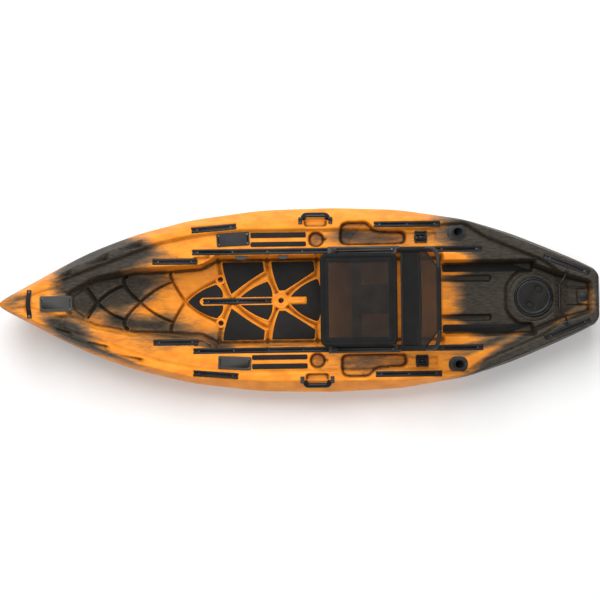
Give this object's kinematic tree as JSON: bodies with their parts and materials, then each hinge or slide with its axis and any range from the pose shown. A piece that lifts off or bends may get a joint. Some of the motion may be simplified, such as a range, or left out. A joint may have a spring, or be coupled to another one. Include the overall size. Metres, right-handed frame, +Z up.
{
  "type": "sit-on-top fishing kayak",
  "caption": "Short wide sit-on-top kayak, orange with dark camouflage ends, sliding mesh seat, gear tracks, rod holders, stern hatch.",
  "frame": {"origin": "on the keel plane, below the middle of the overall length and beam", "axes": "+Z up, +X towards the stern along the keel, +Y towards starboard"},
  "size_m": [3.1, 0.968, 0.7763],
  "materials": {
    "hull": "satin, moulded grain",
    "webbing": "woven",
    "moulded_black": "satin",
    "plate_black": "satin",
    "hatch_plastic": "fine texture",
    "rubber": "matt",
    "deck_pad": "brushed",
    "seat_tube": "powder coat",
    "seat_mesh": "open mesh",
    "seat_fabric": "woven",
    "bracket_metal": "anodised",
    "track_metal": "anodised",
    "steel": "polished"
  },
  "bodies": {
    "boat": {"bow_handle": "webbing", "bow_handle_screws": "steel", "bow_plate": "plate_black", "centre_deck_pads": "deck_pad", "centre_track": "track_metal", "drain_collar": "moulded_black", "hatch_ring": "hatch_plastic", "hatch_ring_screws": "steel", "hull": "hull", "paddle_clip_screws": "steel", "plate_screws": "steel", "port_bow_inner_track": "track_metal", "port_bow_outer_track": "track_metal", "port_deck_pads": "deck_pad", "port_deck_strips": "deck_pad", "port_handle_mounts": "moulded_black", "port_paddle_clip": "moulded_black", "port_plate": "plate_black", "port_rear_track": "track_metal", "port_rod_holder": "moulded_black", "port_seat_track": "track_metal", "port_stern_track": "track_metal", "port_tank_strip": "deck_pad", "rod_holder_screws": "steel", "side_handle_screws": "steel", "starboard_bow_inner_track": "track_metal", "starboard_bow_outer_track": "track_metal", "starboard_deck_pads": "deck_pad", "starboard_deck_strips": "deck_pad", "starboard_handle_mounts": "moulded_black", "starboard_paddle_clip": "moulded_black", "starboard_plate": "plate_black", "starboard_rear_track": "track_metal", "starboard_rod_holder": "moulded_black", "starboard_seat_track": "track_metal", "starboard_stern_track": "track_metal", "starboard_tank_strip": "deck_pad", "stern_handle_mounts": "moulded_black", "stern_handle_screws": "steel", "track_screws": "steel", "wall_fittings": "moulded_black"},
    "seat": {"seat_frame": "seat_tube", "seat_pan": "seat_mesh", "seat_webbing": "webbing", "port_seat_bracket": "bracket_metal", "starboard_seat_bracket": "bracket_metal", "seat_bolts": "steel", "backrest_pins": "steel"},
    "backrest": {"backrest_frame": "seat_tube", "backrest_mesh": "seat_mesh", "lumbar_panel": "seat_fabric"},
    "port_knob": {"port_seat_knob": "moulded_black"},
    "starboard_knob": {"starboard_seat_knob": "moulded_black"},
    "port_handle_body": {"port_handle": "moulded_black"},
    "starboard_handle_body": {"starboard_handle": "moulded_black"},
    "stern_handle_body": {"stern_handle": "moulded_black"},
    "hatch_seal": {"hatch_gasket": "rubber"},
    "hatch_lid_body": {"hatch_lid": "hatch_plastic"},
    "drain_seal": {"drain_washer": "rubber"},
    "drain_plug_body": {"drain_plug": "hatch_plastic"}
  },
  "joints": [
    {"name": "seat_slide", "type": "slide", "parent": "boat", "child": "seat", "axis": [1, 0, 0], "range_m": [-0.62, 0.38]},
    {"name": "backrest_fold", "type": "hinge", "parent": "seat", "child": "backrest", "pos_m": [0.515, 0, 0.372], "axis": [0, 1, 0], "range_deg": [-108, 10]},
    {"name": "port_knob_turn", "type": "hinge", "parent": "seat", "child": "port_knob", "pos_m": [0.181, -0.257, 0.268], "axis": [0, 0, 1], "range_deg": [-90, 90]},
    {"name": "starboard_knob_turn", "type": "hinge", "parent": "seat", "child": "starboard_knob", "pos_m": [0.181, 0.257, 0.268], "axis": [0, 0, 1], "range_deg": [-90, 90]},
    {"name": "starboard_handle_lift", "type": "hinge", "parent": "boat", "child": "starboard_handle_body", "pos_m": [0.085, 0.424, 0.298], "axis": [1, 0, 0], "range_deg": [0, 120]},
    {"name": "port_handle_lift", "type": "hinge", "parent": "boat", "child": "port_handle_body", "pos_m": [0.085, -0.424, 0.298], "axis": [-1, 0, 0], "range_deg": [0, 120]},
    {"name": "stern_handle_lift", "type": "hinge", "parent": "boat", "child": "stern_handle_body", "pos_m": [1.37874, 0, 0.31925], "axis": [0, 1, 0], "range_deg": [0, 120]},
    {"name": "hatch_lid_lift", "type": "slide", "parent": "boat", "child": "hatch_seal", "axis": [0, 0, 1], "range_m": [0, 0.15]},
    {"name": "hatch_lid_turn", "type": "hinge", "parent": "hatch_seal", "child": "hatch_lid_body", "pos_m": [1.225, 0, 0.159], "axis": [0, 0, 1], "range_deg": [0, 90]},
    {"name": "drain_plug_turn", "type": "hinge", "parent": "drain_seal", "child": "drain_plug_body", "pos_m": [1.476, 0, 0.256], "axis": [0, 0, 1], "range_deg": [0, 1440]},
    {"name": "drain_plug_lift", "type": "slide", "parent": "boat", "child": "drain_seal", "axis": [0, 0, 1], "range_m": [0, 0.008]}
  ],
  "couplings": [
    {"joint": "drain_plug_turn", "follows": "drain_plug_lift", "rad_per_m": 3141.6}
  ]
}
